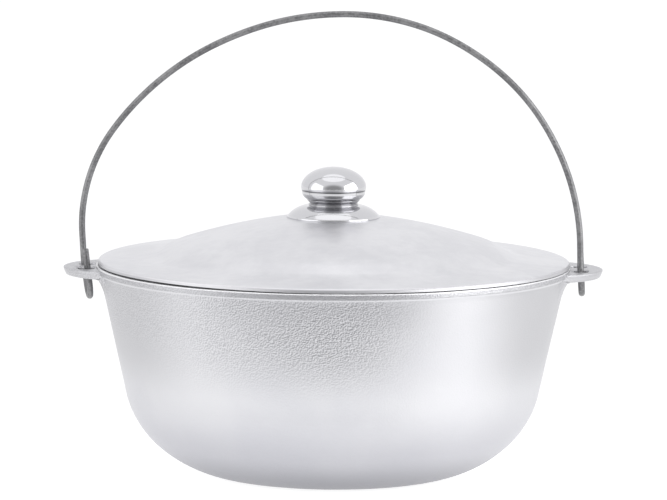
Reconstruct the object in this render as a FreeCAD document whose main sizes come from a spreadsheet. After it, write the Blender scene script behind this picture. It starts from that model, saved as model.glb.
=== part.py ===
import FreeCAD, Part
import math
import os

import Sketcher
from FreeCAD import Placement, Rotation, Vector

# Cast camping cauldron with a domed lid, a steel knob and a wire bail. Millimetres, +Z up. The origin is
# the centre of the flat base and the ears lie along X.

PARTS_FOLDER = "parts"

# Driving dimensions: alias, value, what it is.
DIMENSIONS = [
    ("pot_height", 133.3, "base to rim top"),
    ("base_radius", 58.6, "flat of the base"),
    ("base_arc", 78.5, "radius of the arc from the base to the corner"),
    ("base_arc_end", 42.5, "slope in degrees where the base arc meets the corner arc"),
    ("corner_arc", 62.5, "radius of the arc from the corner to the wall"),
    ("wall_slope", 77.5, "slope of the straight wall in degrees"),
    ("pot_wall", 4.0, "thickness of the pot"),
    ("lip_radius", 149.6, "outside of the rim lip"),
    ("lip_height", 5.3, "height of the rim lip"),
    ("ear_reach", 170.0, "axis to ear tip"),
    ("ear_round", 38.0, "plan radius of an ear"),
    ("ear_thickness", 5.0, "thickness of an ear"),
    ("ear_drop", 1.4, "ear top below the rim top"),
    ("ear_root", 146.5, "radius where an ear starts, inside the lip"),
    ("gusset_reach", 151.0, "radius where the gusset leaves the ear"),
    ("gusset_drop", 14.5, "height of the gusset"),
    ("gusset_round", 14.0, "hollow radius of the gusset"),
    ("gusset_spread", 26.0, "angle that the gusset covers, in degrees"),
    ("eye_reach", 155.4, "axis to the middle of the ear holes"),
    ("eye_width", 10.0, "radial width of an ear hole"),
    ("eye_near", 5.4, "ear centre line to the near edge of a hole"),
    ("eye_far", 18.6, "ear centre line to the far edge of a hole"),
    ("eye_corner", 2.5, "corner radius of an ear hole"),
    ("lid_radius", 150.0, "outside of the lid"),
    ("lid_wall", 3.0, "thickness of the lid"),
    ("lid_gap", 0.8, "edge of the lid above the rim top"),
    ("lid_edge_top", 2.1, "upper corner of the lid's edge"),
    ("lid_bevel", 1.5, "width of the bevel on the lid's edge"),
    ("lid_bevel_top", 2.75, "top of the bevel"),
    ("lid_foot_radius", 119.7, "outer end of the hollow at the foot of the dome"),
    ("lid_foot_top", 5.8, "height there"),
    ("lid_foot_arc", 25.0, "radius of that hollow"),
    ("lid_step_radius", 110.8, "inner end of the hollow"),
    ("lid_step_top", 8.6, "height there"),
    ("lid_shoulder_low", 105.3, "outer end of the dome's shoulder"),
    ("lid_shoulder_low_top", 11.6, "height there"),
    ("lid_shoulder_arc", 50.0, "radius of the shoulder"),
    ("lid_shoulder_radius", 97.6, "inner end of the shoulder"),
    ("lid_shoulder_top", 14.9, "height there"),
    ("lid_dome_arc", 440.0, "radius of the dome"),
    ("lid_pad_radius", 30.0, "flat pad under the knob"),
    ("lid_pad_top", 30.4, "height of the pad above the rim top"),
    ("lid_hole", 3.3, "radius of the screw hole"),
    ("seat_radius", 147.0, "outside of the lid's seat"),
    ("ring_radius", 141.2, "outside of the lid's locating ring"),
    ("ring_thickness", 3.0, "thickness of the locating ring"),
    ("ring_depth", 5.0, "depth of the locating ring"),
    ("wire", 4.0, "diameter of the bail's wire"),
    ("apex_offset", 7.9, "top of the arch, off the pot's axis"),
    ("apex_height", 158.7, "top of the arch above the rim top"),
    ("left_crown_arc", 182.9, "radius of the arch left of its top"),
    ("left_crown_angle", 53.7, "angle of that arc in degrees"),
    ("left_shoulder_arc", 100.5, "radius of the arch's left shoulder"),
    ("left_lean", 3.4, "inward lean of the left leg in degrees"),
    ("right_arc", 147.8, "radius of the arch right of its top"),
    ("right_lean", -1.2, "inward lean of the right leg in degrees"),
    ("leg_arc", 60.0, "radius where a leg bends above its ear"),
    ("leg_straight", 2.0, "height above the ear where that bend ends"),
    ("arch_turn", 3.1, "turn of the arch about the pot's axis in degrees"),
    ("left_hook_depth", 19.3, "left hook's centre line below the ear top"),
    ("right_hook_depth", 15.5, "right hook's centre line below the ear top"),
    ("left_tail_rise", 11.6, "left tail's end above the ear top"),
    ("right_tail_rise", 9.6, "right tail's end above the ear top"),
    ("hook_width", 17.4, "leg to tail, between centre lines"),
    ("left_hook_lean", 7.0, "inward lean of the left hook in degrees"),
    ("right_hook_lean", -3.0, "inward lean of the right hook in degrees"),
    ("left_hook_twist", 8.5, "turn of the left hook about the upright, in degrees"),
    ("right_hook_twist", -3.0, "turn of the right hook about the upright, in degrees"),
    ("knob_sheet", 1.0, "thickness of the knob's steel shells"),
    ("dish_radius", 29.4, "outside of the knob's dish"),
    ("dish_height", 7.8, "top of the dish above the lid's pad"),
    ("dish_flat", 17.5, "radius of the dish's flat top"),
    ("dish_arc", 19.0, "radius of the dish's flank"),
    ("neck_ring_radius", 15.7, "ring at the foot of the knob's neck"),
    ("neck_ring_height", 0.7, "height of that ring"),
    ("waist_radius", 15.0, "narrowest part of the knob"),
    ("waist_height", 8.9, "height of the waist above the pad"),
    ("crease_radius", 17.1, "crease between the neck's cone and the flare"),
    ("crease_height", 11.4, "height there"),
    ("flare_radius", 19.8, "top of the flare"),
    ("flare_height", 14.6, "height there"),
    ("flare_arc", 6.0, "radius of the flare"),
    ("seam_radius", 20.1, "radius at the seam between the knob's shells"),
    ("seam_height", 17.2, "height of the seam"),
    ("cap_radius", 20.65, "widest part of the knob"),
    ("cap_middle", 19.0, "height there"),
    ("cap_shoulder_arc", 8.8, "radius of the cap's shoulder"),
    ("cap_crown_arc", 28.0, "radius of the cap's top"),
    ("cap_top", 31.9, "top of the knob above the lid's pad"),
    ("insert_radius", 7.0, "outside of the threaded boss"),
    ("insert_height", 16.0, "height of the threaded boss"),
    ("insert_bore", 3.05, "radius of the boss's bore"),
    ("insert_bore_depth", 13.0, "depth of the boss's bore"),
    ("screw_radius", 2.95, "radius of the screw's shank"),
    ("screw_length", 25.0, "length of the screw's shank"),
    ("screw_head_radius", 6.0, "radius of the screw's head"),
    ("screw_head_height", 3.6, "height of the screw's head"),
    ("screw_slot", 1.2, "width and depth of the screw's slot"),
    ("washer_radius", 9.0, "outside of the flat washer"),
    ("washer_height", 1.2, "thickness of the flat washer"),
    ("spring_radius", 5.6, "outside of the spring washer"),
    ("spring_height", 1.6, "thickness of the spring washer"),
    ("spring_gap", 1.2, "gap in the spring washer"),
]

doc = FreeCAD.newDocument("cauldron")
sheet = doc.addObject("Spreadsheet::Sheet", "Sizes")
for row, (alias, value, meaning) in enumerate(DIMENSIONS, start=1):
    sheet.set(f"A{row}", meaning)
    sheet.set(f"B{row}", str(value))
    sheet.setAlias(f"B{row}", alias)
doc.recompute()


class Size:
    """A dimension that knows both its number and the expression that gives it."""

    def __init__(self, value, text):
        self.value = value
        self.text = text

    def __add__(self, other):
        other = as_size(other)
        return Size(self.value + other.value, f"({self.text} + {other.text})")

    def __sub__(self, other):
        other = as_size(other)
        return Size(self.value - other.value, f"({self.text} - {other.text})")

    def __mul__(self, other):
        other = as_size(other)
        return Size(self.value * other.value, f"({self.text} * {other.text})")

    def __truediv__(self, other):
        other = as_size(other)
        return Size(self.value / other.value, f"({self.text} / {other.text})")


def as_size(number):
    return number if isinstance(number, Size) else Size(float(number), str(number))


def size(alias):
    return Size(float(sheet.get(alias)), f"Sizes.{alias}")


def sin(angle):
    return Size(math.sin(math.radians(angle.value)), f"sin({angle.text} * 1 deg)")


def cos(angle):
    return Size(math.cos(math.radians(angle.value)), f"cos({angle.text} * 1 deg)")


def root(number):
    return Size(math.sqrt(number.value), f"sqrt({number.text})")


ZERO = Size(0.0, "0")


# Sketches

def new_body(name):
    body = doc.addObject("PartDesign::Body", name)
    body.Label = name
    return body


def origin_feature(body, role):
    return next(item for item in body.Origin.OriginFeatures if item.Role == role)


def new_sketch(body, name, plane, lift=None):
    sketch = body.newObject("Sketcher::SketchObject", name)
    sketch.AttachmentSupport = (origin_feature(body, plane), "")
    sketch.MapMode = "FlatFace"
    if lift is not None:
        sketch.setExpression("AttachmentOffset.Base.z", lift.text)
    return sketch


def bind(sketch, constraint, length):
    index = sketch.addConstraint(constraint)
    sketch.setExpression(f"Constraints[{index}]", length.text)


def place_point(sketch, edge, end, x, y):
    """Fixes one end of an edge at x and y, on the axis where either is zero."""
    if x is ZERO:
        sketch.addConstraint(Sketcher.Constraint("PointOnObject", edge, end, -2))
    else:
        bind(sketch, Sketcher.Constraint("DistanceX", -1, 1, edge, end, x.value), x)
    if y is ZERO:
        sketch.addConstraint(Sketcher.Constraint("PointOnObject", edge, end, -1))
    else:
        bind(sketch, Sketcher.Constraint("DistanceY", -1, 1, edge, end, y.value), y)


def arc_between(start, end, radius, turn):
    """The shorter arc from start to end; turn is +1 anticlockwise and -1 clockwise."""
    middle = (start + end) / 2
    half = (end - start).Length / 2
    left = Vector(0, 0, 1).cross(end - start).normalize()
    centre = middle + left * (turn * math.sqrt(radius ** 2 - half ** 2))
    first, last = (start, end) if turn > 0 else (end, start)
    angles = [math.atan2(point.y - centre.y, point.x - centre.x) for point in (first, last)]
    return Part.ArcOfCircle(Part.Circle(centre, Vector(0, 0, 1), radius), angles[0], angles[1])


def draw_outline(sketch, corners):
    """Closed outline. Each corner is (x, y), or (x, y, radius, turn) where an arc leads on from it.

    An arc that meets the axis of revolution has its centre held on the axis, which sets its radius.
    """
    points = [Vector(corner[0].value, corner[1].value, 0) for corner in corners]
    ends = []
    for index, corner in enumerate(corners):
        start, end = points[index], points[(index + 1) % len(points)]
        if len(corner) == 2:
            edge = sketch.addGeometry(Part.LineSegment(start, end))
            ends.append((edge, 1, 2))
            continue
        radius, turn = corner[2:]
        edge = sketch.addGeometry(arc_between(start, end, radius.value, turn))
        ends.append((edge, 1, 2) if turn > 0 else (edge, 2, 1))
        if ZERO in (corner[0], corners[(index + 1) % len(corners)][0]):
            sketch.addConstraint(Sketcher.Constraint("PointOnObject", edge, 3, -2))
        else:
            bind(sketch, Sketcher.Constraint("Radius", edge, radius.value), radius)
    for index, (edge, first, last) in enumerate(ends):
        after, after_first, _ = ends[(index + 1) % len(ends)]
        sketch.addConstraint(Sketcher.Constraint("Coincident", edge, last, after, after_first))
        place_point(sketch, edge, first, corners[index][0], corners[index][1])


def revolve(body, name, corners, angle=None):
    sketch = new_sketch(body, name + "_section", "XZ_Plane")
    draw_outline(sketch, corners)
    feature = body.newObject("PartDesign::Revolution", name)
    feature.Profile = sketch
    feature.ReferenceAxis = (origin_feature(body, "Z_Axis"), [""])
    feature.Angle = 360
    if angle is not None:
        feature.Midplane = True
        feature.setExpression("Angle", angle.text)
    return feature


def turned_part(name, corners, height):
    """A piece turned about the pot's axis, with its section drawn upwards from the given height."""
    body = new_body(name)
    revolve(body, name + "_turned", corners)
    body.setExpression("Placement.Base.z", height.text)
    return body


# Pot

rim = size("pot_height")
lip_low = rim - size("lip_height")
ear_top = rim - size("ear_drop")
ear_low = ear_top - size("ear_thickness")


def pot_side(inset):
    """Where the base arc and the corner arc end, and the wall's radius by height, inset from the outside."""
    base_arc, corner_arc = size("base_arc"), size("corner_arc")
    bend, slope = size("base_arc_end"), size("wall_slope")
    arc_end = (
        size("base_radius") + (base_arc - inset) * sin(bend),
        base_arc - (base_arc - inset) * cos(bend),
    )
    corner_x = size("base_radius") + (base_arc - corner_arc) * sin(bend)
    corner_z = base_arc - (base_arc - corner_arc) * cos(bend)
    corner_end = (
        corner_x + (corner_arc - inset) * sin(slope),
        corner_z - (corner_arc - inset) * cos(slope),
    )

    def wall_at(height):
        return corner_end[0] + (height - corner_end[1]) * cos(slope) / sin(slope)

    return arc_end, corner_end, wall_at


def make_pot():
    body = new_body("pot_body")
    wall = size("pot_wall")
    outer_arc_end, outer_corner_end, outer_wall = pot_side(ZERO)
    inner_arc_end, inner_corner_end, inner_wall = pot_side(wall)
    base_arc, corner_arc = size("base_arc"), size("corner_arc")
    revolve(body, "pot_turned", [
        (ZERO, ZERO),
        (size("base_radius"), ZERO, base_arc, 1),
        (*outer_arc_end, corner_arc, 1),
        outer_corner_end,
        (outer_wall(lip_low), lip_low),
        (size("lip_radius"), lip_low),
        (size("lip_radius"), rim),
        (inner_wall(rim), rim),
        (*inner_corner_end, corner_arc - wall, -1),
        (*inner_arc_end, base_arc - wall, -1),
        (size("base_radius"), wall),
        (ZERO, wall),
    ])

    gusset_low = ear_low - size("gusset_drop")
    gusset = revolve(body, "ear_gusset", [
        (size("ear_root"), ear_low),
        (outer_wall(gusset_low) - wall / 2, gusset_low),
        (outer_wall(gusset_low), gusset_low, size("gusset_round"), -1),
        (size("gusset_reach"), ear_low),
    ], angle=size("gusset_spread"))

    ear = body.newObject("PartDesign::Pad", "ear")
    ear.Profile = new_sketch(body, "ear_plan", "XY_Plane", lift=ear_low)
    root_radius, ear_round = size("ear_root"), size("ear_round")
    ear_centre = size("ear_reach") - ear_round
    root_x = (root_radius * root_radius + ear_centre * ear_centre - ear_round * ear_round) / (ear_centre * 2)
    root_y = root(root_radius * root_radius - root_x * root_x)
    draw_outline(ear.Profile[0], [
        (root_x, ZERO - root_y, ear_round, 1),
        (size("ear_reach"), ZERO, ear_round, 1),
        (root_x, root_y, root_radius, -1),
    ])
    ear.setExpression("Length", size("ear_thickness").text)

    eyes = body.newObject("PartDesign::Pocket", "ear_holes")
    eyes.Profile = new_sketch(body, "ear_holes_plan", "XY_Plane", lift=ear_top)
    for side in (-1, 1):
        draw_eye(eyes.Profile[0], side)
    eyes.setExpression("Length", (size("ear_thickness") + size("gusset_drop")).text)

    pair = body.newObject("PartDesign::PolarPattern", "both_ears")
    pair.Originals = [gusset, ear, eyes]
    pair.Axis = (origin_feature(body, "Z_Axis"), [""])
    pair.Angle = 360
    pair.Occurrences = 2
    body.Tip = pair
    return body


def draw_eye(sketch, side):
    """One ear hole: a rectangle with rounded corners, on the +Y or -Y side of the ear's centre line."""
    middle, corner = size("eye_reach"), size("eye_corner")
    low, high = middle - size("eye_width") / 2, middle + size("eye_width") / 2
    near, far = size("eye_near"), size("eye_far")
    if side < 0:
        near, far = ZERO - far, ZERO - near
    draw_outline(sketch, [
        (low + corner, near),
        (high - corner, near, corner, 1),
        (high, near + corner),
        (high, far - corner, corner, 1),
        (high - corner, far),
        (low + corner, far, corner, 1),
        (low, far - corner),
        (low, near + corner, corner, 1),
    ])


# Lid and knob

def make_lid():
    wall = size("lid_wall")
    ring_inner = size("ring_radius") - size("ring_thickness")
    dome = [
        (size("lid_foot_radius"), size("lid_foot_top"), size("lid_foot_arc"), -1),
        (size("lid_step_radius"), size("lid_step_top")),
        (size("lid_shoulder_low"), size("lid_shoulder_low_top"), size("lid_shoulder_arc"), 1),
        (size("lid_shoulder_radius"), size("lid_shoulder_top"), size("lid_dome_arc"), 1),
        (size("lid_pad_radius"), size("lid_pad_top")),
    ]
    under = [(radius, height - wall) for radius, height, *_ in reversed(dome)]
    under[0] += (size("lid_dome_arc"), -1)
    under[1] += (size("lid_shoulder_arc"), -1)
    under[3] += (size("lid_foot_arc"), 1)
    return turned_part("lid", [
        (size("lid_radius"), size("lid_gap")),
        (size("lid_radius"), size("lid_edge_top")),
        (size("lid_radius") - size("lid_bevel"), size("lid_bevel_top")),
        *dome,
        (size("lid_hole"), size("lid_pad_top")),
        (size("lid_hole"), size("lid_pad_top") - wall),
        *under,
        (ring_inner, size("lid_gap")),
        (ring_inner, ZERO - size("ring_depth")),
        (size("ring_radius"), ZERO - size("ring_depth")),
        (size("ring_radius"), ZERO),
        (size("seat_radius"), ZERO),
        (size("seat_radius"), size("lid_gap")),
    ], rim)


def make_knob():
    pad = rim + size("lid_pad_top")
    skin = size("knob_sheet")
    hole = size("lid_hole")
    dish_top = size("dish_height")
    turned_part("knob_base", [
        (size("dish_radius") - skin, ZERO),
        (size("dish_radius"), ZERO),
        (size("dish_radius"), skin, size("dish_arc"), 1),
        (size("dish_flat"), dish_top),
        (hole, dish_top),
        (hole, dish_top - skin),
        (size("dish_flat") - skin, dish_top - skin, size("dish_arc") - skin, -1),
    ], pad)

    ring_top = dish_top + size("neck_ring_height")
    turned_part("knob_shell", [
        (hole, dish_top),
        (size("neck_ring_radius"), dish_top),
        (size("neck_ring_radius"), ring_top),
        (size("waist_radius"), size("waist_height")),
        (size("crease_radius"), size("crease_height"), size("flare_arc"), 1),
        (size("flare_radius"), size("flare_height")),
        (size("seam_radius"), size("seam_height")),
        (size("seam_radius") - skin, size("seam_height")),
        (size("flare_radius") - skin, size("flare_height"), size("flare_arc") - skin, -1),
        (size("crease_radius") - skin, size("crease_height") + skin / 2),
        (size("waist_radius") - skin, size("waist_height") + skin / 2),
        (size("waist_radius") - skin, dish_top + skin),
        (hole, dish_top + skin),
    ], pad)

    crown, shoulder = size("cap_crown_arc"), size("cap_shoulder_arc")
    shoulder_x = size("cap_radius") - shoulder
    reach = shoulder_x / (crown - shoulder)
    crown_z = size("cap_top") - crown
    rise = (size("cap_middle") - crown_z) / (crown - shoulder)

    def crown_end(inset):
        return reach * (crown - inset), crown_z + rise * (crown - inset)

    turned_part("knob_cap", [
        (size("seam_radius"), size("seam_height")),
        (size("cap_radius"), size("cap_middle"), shoulder, 1),
        (*crown_end(ZERO), crown, 1),
        (ZERO, size("cap_top")),
        (ZERO, size("cap_top") - skin, crown - skin, -1),
        (*crown_end(skin), shoulder - skin, -1),
        (size("cap_radius") - skin, size("cap_middle")),
        (size("seam_radius") - skin, size("seam_height")),
    ], pad)

    boss_low = dish_top + skin
    boss_top = boss_low + size("insert_height")
    bore_top = boss_low + size("insert_bore_depth")
    turned_part("knob_insert", [
        (size("insert_bore"), boss_low),
        (size("insert_radius"), boss_low),
        (size("insert_radius"), boss_top),
        (ZERO, boss_top),
        (ZERO, bore_top),
        (size("insert_bore"), bore_top),
    ], pad)


# Fasteners under the lid

def cylinder(name, radius, height):
    piece = doc.addObject("Part::Cylinder", name)
    piece.setExpression("Radius", radius.text)
    piece.setExpression("Height", height.text)
    return piece


def cut(name, base, tool, height):
    piece = doc.addObject("Part::Cut", name)
    piece.Base = base
    piece.Tool = tool
    piece.Label = name
    piece.setExpression("Placement.Base.z", height.text)
    return piece


def make_fasteners():
    under_lid = rim + size("lid_pad_top") - size("lid_wall")
    cut(
        "lid_washer",
        cylinder("washer_disc", size("washer_radius"), size("washer_height")),
        cylinder("washer_hole", size("lid_hole"), size("washer_height")),
        under_lid - size("washer_height"),
    )

    under_washer = under_lid - size("washer_height")
    ring = doc.addObject("Part::Cut", "spring_ring")
    ring.Base = cylinder("spring_disc", size("spring_radius"), size("spring_height"))
    ring.Tool = cylinder("spring_hole", size("lid_hole"), size("spring_height"))
    gap = doc.addObject("Part::Box", "spring_split")
    gap.setExpression("Length", size("spring_radius").text)
    gap.setExpression("Width", size("spring_gap").text)
    gap.setExpression("Height", size("spring_height").text)
    gap.setExpression("Placement.Base.y", (ZERO - size("spring_gap") / 2).text)
    cut("spring_washer", ring, gap, under_washer - size("spring_height"))

    under_spring = under_washer - size("spring_height")
    shank = cylinder("screw_shank", size("screw_radius"), size("screw_length"))
    head = cylinder("screw_head", size("screw_head_radius"), size("screw_head_height"))
    head.setExpression("Placement.Base.z", (ZERO - size("screw_head_height")).text)
    blank = doc.addObject("Part::Fuse", "screw_blank")
    blank.Base = head
    blank.Tool = shank
    slot = doc.addObject("Part::Box", "screw_slot_cutter")
    slot.setExpression("Length", (size("screw_head_radius") * 2).text)
    slot.setExpression("Width", size("screw_slot").text)
    slot.setExpression("Height", size("screw_slot").text)
    slot.setExpression("Placement.Base.x", (ZERO - size("screw_head_radius")).text)
    slot.setExpression("Placement.Base.y", (ZERO - size("screw_slot") / 2).text)
    slot.setExpression("Placement.Base.z", (ZERO - size("screw_head_height")).text)
    cut("lid_screw", blank, slot, under_spring)


# Bail

def arc_through(centre, radius, across, up, start, end):
    """An arc about centre, from angle start to angle end in degrees, measured from up towards across."""
    points = []
    for angle in (start, (start + end) / 2, end):
        turn = math.radians(angle)
        points.append(centre + (across * math.sin(turn) + up * math.cos(turn)) * radius)
    return Part.Arc(*points).toShape()


def leg_edges(side, last_point, arch_end):
    """Edges from the arch to its hook's tail. Angles run from outward, through straight down, to inward."""
    name = "left" if side < 0 else "right"
    up = Vector(0, 0, 1)
    outward = arch_axis() * side
    leg_arc = size("leg_arc").value
    hook_angle = 90 + size(f"{name}_hook_lean").value

    def along(angle):
        return outward * math.cos(math.radians(angle)) - up * math.sin(math.radians(angle))

    def to_centre(angle):
        """From the wire towards the centre of the bend that turns it from the arch to the hook."""
        inward = outward * -math.sin(math.radians(angle)) - up * math.cos(math.radians(angle))
        return inward * (leg_arc if hook_angle > arch_end else -leg_arc)

    # The leg runs straight down from the arch, then bends slightly into its hook's direction.
    bend_end_z = ear_top.value + size("leg_straight").value
    bend_start_z = bend_end_z + to_centre(hook_angle).z - to_centre(arch_end).z
    fall = along(arch_end)
    bend_start = last_point + fall * ((bend_start_z - last_point.z) / fall.z)
    centre = bend_start + to_centre(arch_end)
    bend_middle = centre - to_centre((arch_end + hook_angle) / 2)
    bend_end = centre - to_centre(hook_angle)

    # The hook is half a circle below the ear, and its tail comes back up through the second hole.
    radius = size("hook_width").value / 2
    down = along(hook_angle)
    twist = math.radians(size(f"{name}_hook_twist").value)
    across = Vector(-side * math.sin(twist), side * math.cos(twist), 0)
    across = (across - down * across.dot(down)).normalize()
    foot_z = ear_top.value - size(f"{name}_hook_depth").value - down.z * radius
    leg_foot = bend_end + down * ((foot_z - bend_end.z) / down.z)
    hook_low = leg_foot + across * radius + down * radius
    tail_foot = leg_foot + across * (2 * radius)
    tail_end_z = ear_top.value + size(f"{name}_tail_rise").value
    tail_end = tail_foot + down * ((tail_end_z - tail_foot.z) / down.z)
    return [
        Part.LineSegment(last_point, bend_start).toShape(),
        Part.Arc(bend_start, bend_middle, bend_end).toShape(),
        Part.LineSegment(bend_end, leg_foot).toShape(),
        Part.Arc(leg_foot, hook_low, tail_foot).toShape(),
        Part.LineSegment(tail_foot, tail_end).toShape(),
    ]


def arch_axis():
    """The level direction in which the arch runs, from the left ear to the right ear."""
    turn = math.radians(size("arch_turn").value)
    return Vector(math.cos(turn), -math.sin(turn), 0)


def make_bail():
    up = Vector(0, 0, 1)
    axis = arch_axis()
    apex = axis * size("apex_offset").value + up * (rim.value + size("apex_height").value)

    crown_arc = size("left_crown_arc").value
    crown_angle = size("left_crown_angle").value
    shoulder_arc = size("left_shoulder_arc").value
    left_end = 90 + size("left_lean").value
    crown_centre = apex - up * crown_arc
    turn = math.radians(crown_angle)
    to_join = up * math.cos(turn) - axis * math.sin(turn)
    shoulder_centre = crown_centre + to_join * (crown_arc - shoulder_arc)
    left_crown = arc_through(crown_centre, crown_arc, axis * -1, up, 0, crown_angle)
    left_shoulder = arc_through(shoulder_centre, shoulder_arc, axis * -1, up, crown_angle, left_end)
    left_foot = left_shoulder.valueAt(left_shoulder.LastParameter)

    right_arc = size("right_arc").value
    right_end = 90 + size("right_lean").value
    right_side = arc_through(apex - up * right_arc, right_arc, axis, up, 0, right_end)
    right_foot = right_side.valueAt(right_side.LastParameter)

    edges = leg_edges(-1, left_foot, left_end)
    edges += [left_crown, left_shoulder, right_side]
    edges += leg_edges(1, right_foot, right_end)
    path = doc.addObject("Part::Feature", "bail_path")
    path.Shape = Part.Wire(Part.__sortEdges__(edges))

    tail = path.Shape.OrderedVertexes[0].Point
    section = doc.addObject("Part::Circle", "bail_section")
    section.setExpression("Radius", (size("wire") / 2).text)
    section.Placement = Placement(tail, Rotation())
    bail = doc.addObject("Part::Sweep", "bail")
    bail.Label = "bail"
    bail.Sections = [section]
    bail.Spine = (path, [f"Edge{number + 1}" for number in range(len(path.Shape.Edges))])
    bail.Solid = True
    bail.Frenet = False
    return path


make_pot()
make_lid()
make_knob()
make_fasteners()
bail_path = make_bail()
doc.recompute()

# Checks, then one file for each piece

PIECES = [
    "pot_body", "lid", "bail", "knob_cap", "knob_shell", "knob_base", "knob_insert",
    "lid_screw", "lid_washer", "spring_washer",
]

for item in doc.Objects:
    if "Invalid" in item.State or "Error" in item.State:
        raise RuntimeError(f"{item.Name} failed: {item.State}")

wire_section = math.pi * (size("wire").value / 2) ** 2
expected = wire_section * bail_path.Shape.Length
print(f"bail volume {doc.getObject('bail').Shape.Volume:.0f}, expected {expected:.0f}")

os.makedirs(PARTS_FOLDER, exist_ok=True)
for name in PIECES:
    shape = doc.getObject(name).Shape
    if shape.isNull() or not shape.isValid() or len(shape.Solids) != 1:
        raise RuntimeError(f"{name} has no valid single solid")
    box = shape.BoundBox
    print(f"{name}: {shape.Volume / 1000:.1f} cm3, x {box.XMin:.1f} {box.XMax:.1f},"
          f" y {box.YMin:.1f} {box.YMax:.1f}, z {box.ZMin:.1f} {box.ZMax:.1f}")
    shape.exportStep(os.path.join(PARTS_FOLDER, name + ".step"))
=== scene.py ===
import math

import bmesh
import bpy
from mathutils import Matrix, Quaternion, Vector, noise


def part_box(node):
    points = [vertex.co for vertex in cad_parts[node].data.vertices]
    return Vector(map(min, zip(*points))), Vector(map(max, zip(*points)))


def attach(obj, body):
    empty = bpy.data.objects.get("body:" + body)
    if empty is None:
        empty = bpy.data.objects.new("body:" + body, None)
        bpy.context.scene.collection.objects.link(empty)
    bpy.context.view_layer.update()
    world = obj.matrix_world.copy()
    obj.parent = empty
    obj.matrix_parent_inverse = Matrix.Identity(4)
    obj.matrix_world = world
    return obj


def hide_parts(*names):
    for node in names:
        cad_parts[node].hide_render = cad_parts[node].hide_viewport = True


# Cast camping cauldron: its visible pieces, materials, studio and camera. Shapes are worked out in
# millimetres in the frame's own axes and scaled to metres when a mesh is made. Materials read object
# coordinates, so their heights and distances are in metres.

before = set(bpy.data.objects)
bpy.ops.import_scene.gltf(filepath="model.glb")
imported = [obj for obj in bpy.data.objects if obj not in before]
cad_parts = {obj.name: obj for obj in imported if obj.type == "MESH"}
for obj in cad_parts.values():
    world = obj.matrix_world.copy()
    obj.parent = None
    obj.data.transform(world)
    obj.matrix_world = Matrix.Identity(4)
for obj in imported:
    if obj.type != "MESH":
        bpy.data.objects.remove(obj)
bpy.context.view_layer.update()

MM = 0.001
NOISE_SEED = 7    # without a seed the noise follows the clock, and each run would differ
noise.seed_set(NOISE_SEED)


def high_corner(node):
    """The corner of a CAD node's box with the highest coordinates, in millimetres."""
    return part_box(node)[1] / MM


pot_high = high_corner("pot_body")
RIM = pot_high.z
LIP = pot_high.y
EAR_REACH = pot_high.x
PAD = high_corner("lid").z    # the flat on the lid that the knob stands on
DISH_TOP = high_corner("knob_base").z
SEAM = high_corner("knob_shell").z
KNOB_TOP = high_corner("knob_cap").z
BAIL_TOP = high_corner("bail").z
SHARP_ANGLE = math.radians(38.0)


# Outlines

def smoothstep(low, high, value):
    share = min(1.0, max(0.0, (value - low) / (high - low)))
    return share * share * (3 - 2 * share)


def arc(centre, radius, start, end, count):
    """Points on an arc, with angles in degrees anticlockwise from the outward axis."""
    points = []
    for step in range(count + 1):
        angle = math.radians(start + (end - start) * step / count)
        points.append((centre[0] + radius * math.cos(angle), centre[1] + radius * math.sin(angle)))
    return points


def rounded(corners, steps=5):
    """A path through (r, z, fillet) corners, with an arc of the fillet's radius at each one that has one."""
    path = []
    for index, (r, z, fillet) in enumerate(corners):
        here = Vector((r, z))
        if not fillet or index in (0, len(corners) - 1):
            path.append((r, z))
            continue
        to_last = (Vector(corners[index - 1][:2]) - here).normalized()
        to_next = (Vector(corners[index + 1][:2]) - here).normalized()
        half = to_last.angle(to_next) / 2
        bisector = (to_last + to_next).normalized()
        centre = here + bisector * (fillet / math.sin(half))
        first = here + to_last * (fillet / math.tan(half)) - centre
        last = here + to_next * (fillet / math.tan(half)) - centre
        sweep = first.angle_signed(last)
        for step in range(steps + 1):
            angle = -sweep * step / steps
            turned = Vector((
                first.x * math.cos(angle) - first.y * math.sin(angle),
                first.x * math.sin(angle) + first.y * math.cos(angle),
            ))
            path.append(tuple(centre + turned))
    return path


def resample(path, count):
    """The path as count + 1 points at even distances along it."""
    lengths = [0.0]
    for before, after in zip(path, path[1:]):
        lengths.append(lengths[-1] + math.dist(before, after))
    points = []
    piece = 0
    for step in range(count + 1):
        target = lengths[-1] * step / count
        while piece < len(path) - 2 and lengths[piece + 1] < target:
            piece += 1
        span = lengths[piece + 1] - lengths[piece]
        share = (target - lengths[piece]) / span if span else 0.0
        before, after = path[piece], path[piece + 1]
        points.append(tuple(a + (b - a) * share for a, b in zip(before, after)))
    return points


# Meshes

SAME_POINT = 0.002    # points closer than this are joined
ON_AXIS = 1e-6        # a radius below this is on the axis


def new_piece(name, points, faces, body, nodes, material):
    """A smooth-shaded mesh from points in millimetres, which rides on a body and stands for CAD nodes."""
    mesh = bpy.data.meshes.new(name)
    mesh.from_pydata([Vector(point) * MM for point in points], [], faces)
    mesh.validate()
    piece = bpy.data.objects.new(name, mesh)
    bpy.context.scene.collection.objects.link(piece)
    tidy_mesh(mesh)
    piece.data.materials.append(material)
    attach(piece, body)
    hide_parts(*nodes)
    return piece


def shade(mesh):
    mesh.shade_smooth()
    mesh.set_sharp_from_angle(angle=SHARP_ANGLE)


def tidy_mesh(mesh):
    """Joins points that coincide, turns every face outwards and shades it smooth between sharp edges."""
    builder = bmesh.new()
    builder.from_mesh(mesh)
    bmesh.ops.remove_doubles(builder, verts=builder.verts, dist=SAME_POINT * MM)
    bmesh.ops.recalc_face_normals(builder, faces=builder.faces)
    builder.to_mesh(mesh)
    builder.free()
    shade(mesh)


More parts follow.
